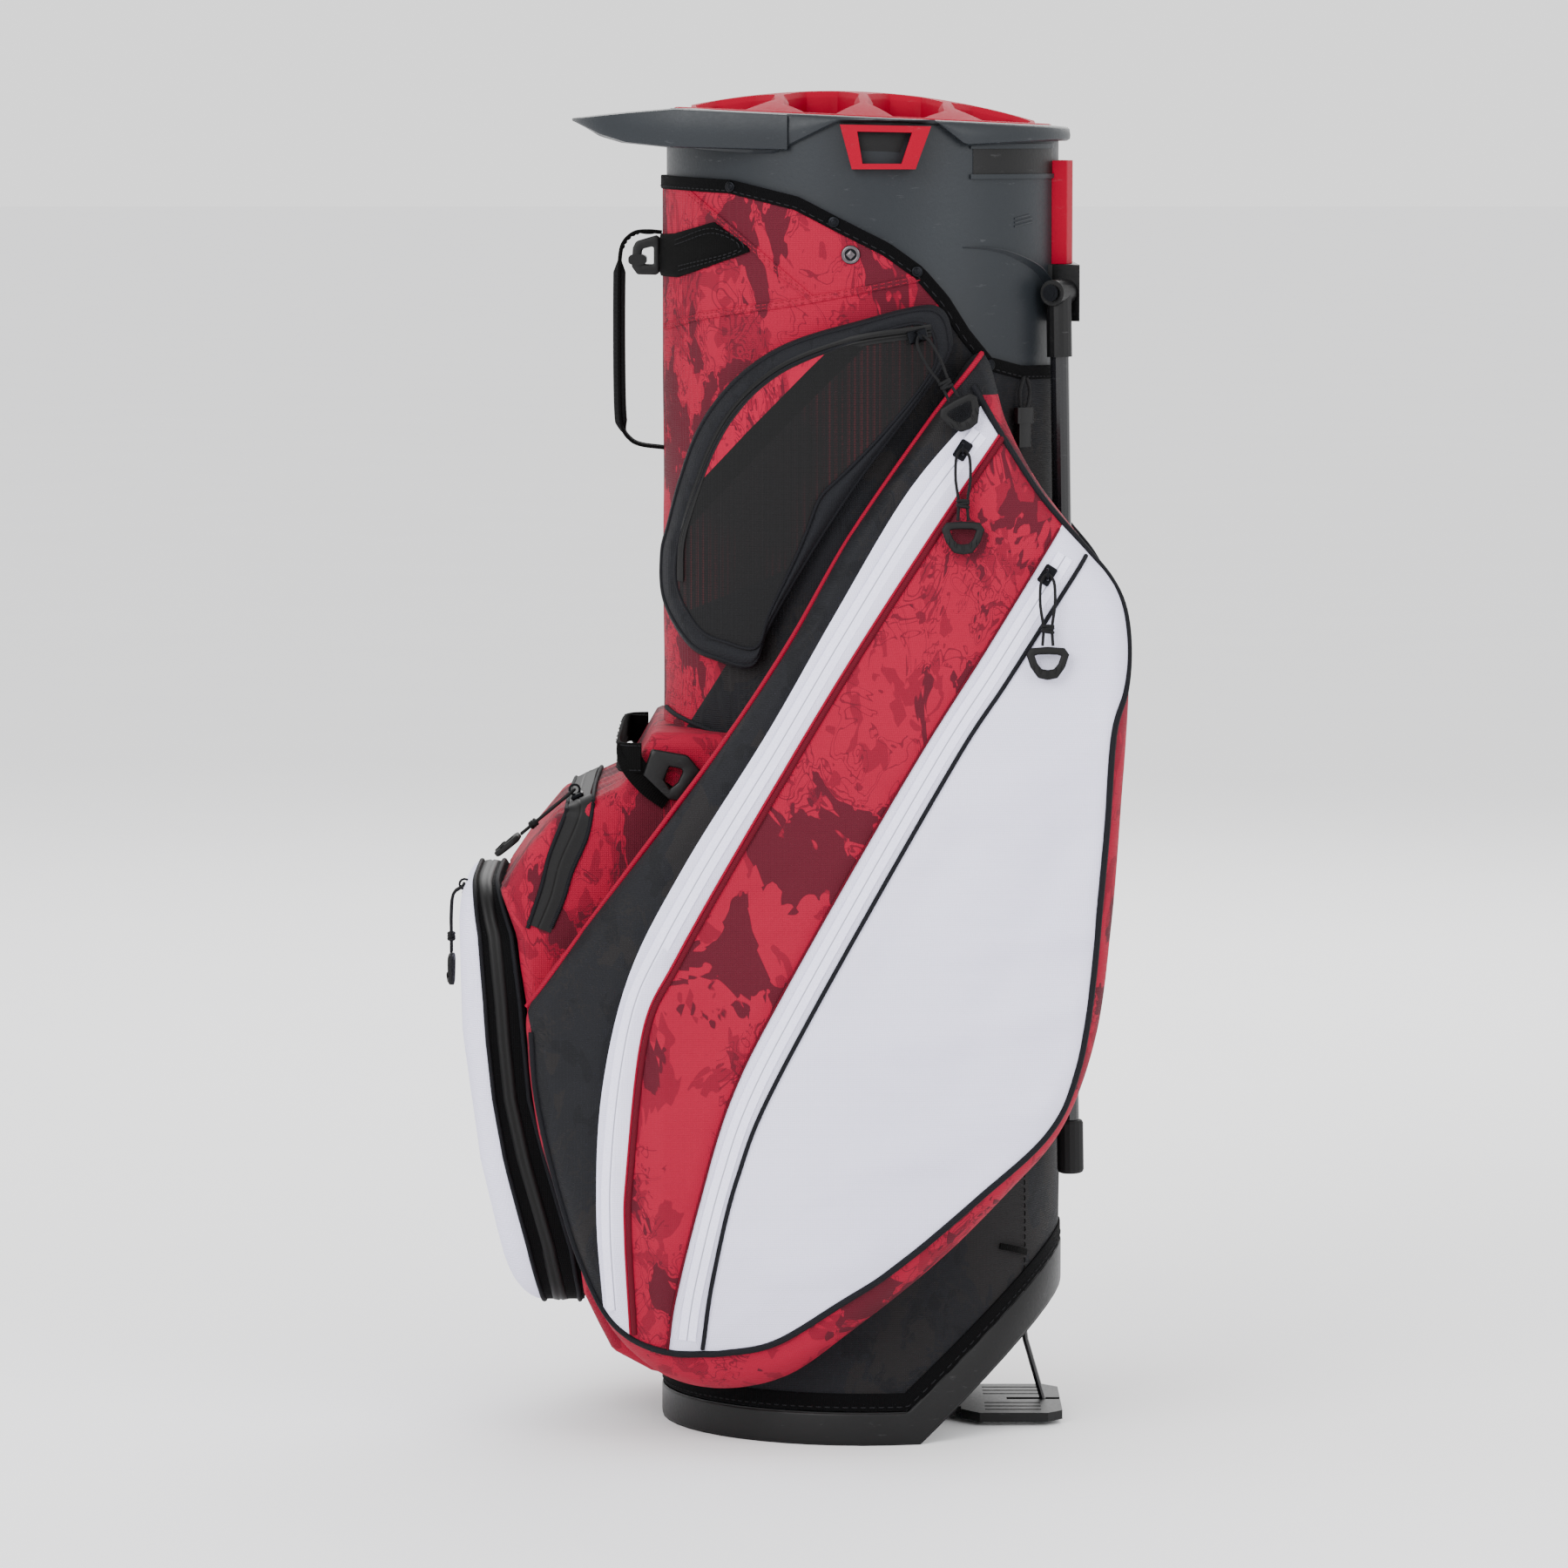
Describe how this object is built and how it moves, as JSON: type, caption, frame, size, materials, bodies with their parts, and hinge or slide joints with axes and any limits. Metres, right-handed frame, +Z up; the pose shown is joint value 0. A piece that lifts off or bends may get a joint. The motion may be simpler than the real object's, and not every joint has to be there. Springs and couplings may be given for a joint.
{
  "type": "golf stand bag",
  "caption": "Golf bag with a moulded divided cuff, zipped side and front pockets, lift handles, and two folding legs worked by a foot plate under the base.",
  "frame": {"origin": "centre of the base's underside, on the ground", "axes": "+Z up the bag; +X towards the back, where the legs are; -Y the left side, with the bag's front towards -X"},
  "size_m": [0.4453, 0.34, 0.8858],
  "materials": {
    "grey_plastic": "moulded slate grey with a soft sheen",
    "red_plastic": "moulded red",
    "black_plastic": "moulded black, fine grain",
    "red_camo_fabric": "red and maroon printed ripstop",
    "white_fabric": "white ripstop with red and dark panels",
    "mesh_fabric": "dark mesh and webbing",
    "black_webbing": "woven black webbing",
    "padded_fabric": "black padded air mesh",
    "divider_fabric": "black lining",
    "black_enamel": "gloss black tube",
    "steel": "bright steel",
    "rubber": "black rubber",
    "cord": "black braided cord"
  },
  "bodies": {
    "bag": {"top_cuff": "grey_plastic", "divider_top": "red_plastic", "grip_frame_left": "red_plastic", "grip_frame_right": "red_plastic", "housing_cover": "red_plastic", "base_cup": "black_plastic", "leg_housing": "black_plastic", "handle_clip": "black_plastic", "grab_ring_left": "black_plastic", "grab_ring_right": "black_plastic", "strap_hub": "black_plastic", "strap_anchor": "black_plastic", "stay_left": "black_plastic", "stay_right": "black_plastic", "body_shell": "red_camo_fabric", "accessory_pocket": "red_camo_fabric", "side_pocket_left": "white_fabric", "side_pocket_right": "white_fabric", "ball_pocket": "white_fabric", "mesh_pocket_left": "mesh_fabric", "mesh_pocket_right": "mesh_fabric", "handle_webbing": "black_webbing", "lift_handle": "black_webbing", "grab_strap": "black_webbing", "hip_pad": "padded_fabric", "shoulder_strap_left": "padded_fabric", "shoulder_strap_right": "padded_fabric", "divider_long": "divider_fabric", "divider_cross_front": "divider_fabric", "divider_cross_middle": "divider_fabric", "divider_cross_back": "divider_fabric", "hinge_pin_left": "steel", "hinge_pin_right": "steel", "foot_hinge_pin": "steel"},
    "leg_left": {"leg_yoke_left": "black_plastic", "leg_tube_left": "black_enamel", "leg_foot_left": "rubber"},
    "leg_right": {"leg_yoke_right": "black_plastic", "leg_tube_right": "black_enamel", "leg_foot_right": "rubber"},
    "push_rod": {"push_rod": "steel"},
    "foot_plate": {"foot_plate": "black_plastic"},
    "zip_upper_left": {"slider_upper_left": "black_plastic"},
    "pull_upper_left": {"cord_upper_left": "cord", "grip_upper_left": "rubber"},
    "zip_lower_left": {"slider_lower_left": "black_plastic"},
    "pull_lower_left": {"cord_lower_left": "cord", "grip_lower_left": "rubber"},
    "zip_mesh_left": {"slider_mesh_left": "black_plastic"},
    "pull_mesh_left": {"cord_mesh_left": "cord", "grip_mesh_left": "rubber"},
    "zip_accessory": {"slider_accessory": "black_plastic"},
    "pull_accessory": {"cord_accessory": "cord", "grip_accessory": "rubber"},
    "zip_ball": {"slider_ball": "black_plastic"},
    "pull_ball": {"cord_ball": "cord", "grip_ball": "rubber"},
    "zip_upper_right": {"slider_upper_right": "black_plastic"},
    "zip_lower_right": {"slider_lower_right": "black_plastic"},
    "zip_mesh_right": {"slider_mesh_right": "black_plastic"}
  },
  "joints": [
    {"name": "leg_left_swing", "type": "hinge", "parent": "bag", "child": "leg_left", "pos_m": [0.128, -0.055, 0.754], "axis": [-0.4695, -0.8829, 0], "range_deg": [0, 34], "stiffness_Nm_per_rad": 0.25, "springref_deg": -11.46},
    {"name": "leg_right_swing", "type": "hinge", "parent": "bag", "child": "leg_right", "pos_m": [0.128, 0.055, 0.754], "axis": [0.4695, -0.8829, 0], "range_deg": [0, 34.5]},
    {"name": "push_rod_slide", "type": "slide", "parent": "bag", "child": "push_rod", "axis": [0, 0, 1], "range_m": [0, 0.038]},
    {"name": "foot_plate_tilt", "type": "hinge", "parent": "bag", "child": "foot_plate", "pos_m": [0.058, 0, 0.0085], "axis": [0, -1, 0], "range_deg": [0, 35.5]},
    {"name": "zip_upper_left_slide", "type": "slide", "parent": "bag", "child": "zip_upper_left", "axis": [-0.5354, -0.1407, -0.8328], "range_m": [0, 0.12]},
    {"name": "pull_upper_left_swing", "type": "hinge", "parent": "zip_upper_left", "child": "pull_upper_left", "pos_m": [0.0632, -0.14206, 0.65552], "axis": [0, -0.986, 0.1666], "range_deg": [-20, 20]},
    {"name": "zip_upper_right_slide", "type": "slide", "parent": "bag", "child": "zip_upper_right", "axis": [-0.5354, 0.1407, -0.8328], "range_m": [0, 0.12]},
    {"name": "zip_lower_left_slide", "type": "slide", "parent": "bag", "child": "zip_lower_left", "axis": [-0.5354, -0.1407, -0.8328], "range_m": [0, 0.12]},
    {"name": "pull_lower_left_swing", "type": "hinge", "parent": "zip_lower_left", "child": "pull_lower_left", "pos_m": [0.1175, -0.15555, 0.57572], "axis": [0, -0.986, 0.1666], "range_deg": [-20, 20]},
    {"name": "zip_lower_right_slide", "type": "slide", "parent": "bag", "child": "zip_lower_right", "axis": [-0.5354, 0.1407, -0.8328], "range_m": [0, 0.12]},
    {"name": "zip_mesh_left_slide", "type": "slide", "parent": "bag", "child": "zip_mesh_left", "axis": [-0.9622, -0.1443, -0.2309], "range_m": [0, 0.035]},
    {"name": "pull_mesh_left_swing", "type": "hinge", "parent": "zip_mesh_left", "child": "pull_mesh_left", "pos_m": [0.03513, -0.13409, 0.728], "axis": [0, -1, 0], "range_deg": [0, 25]},
    {"name": "zip_mesh_right_slide", "type": "slide", "parent": "bag", "child": "zip_mesh_right", "axis": [-0.9622, 0.1443, -0.2309], "range_m": [0, 0.035]},
    {"name": "zip_accessory_slide", "type": "slide", "parent": "bag", "child": "zip_accessory", "axis": [0, 1, 0], "range_m": [0, 0.12]},
    {"name": "pull_accessory_swing", "type": "hinge", "parent": "zip_accessory", "child": "pull_accessory", "pos_m": [-0.18978, -0.07, 0.4283], "axis": [-0.6392, 0, 0.769], "range_deg": [-20, 20]},
    {"name": "zip_ball_slide", "type": "slide", "parent": "bag", "child": "zip_ball", "axis": [0, 1, 0], "range_m": [0, 0.08]},
    {"name": "pull_ball_swing", "type": "hinge", "parent": "zip_ball", "child": "pull_ball", "pos_m": [-0.26357, -0.045, 0.36287], "axis": [-1, 0, 0], "range_deg": [-20, 20]}
  ],
  "couplings": [
    {"joint": "leg_right_swing", "follows": "leg_left_swing", "ratio": 1},
    {"joint": "push_rod_slide", "follows": "leg_left_swing", "m_per_rad": 0.06336},
    {"joint": "foot_plate_tilt", "follows": "leg_left_swing", "ratio": 1.0294}
  ]
}
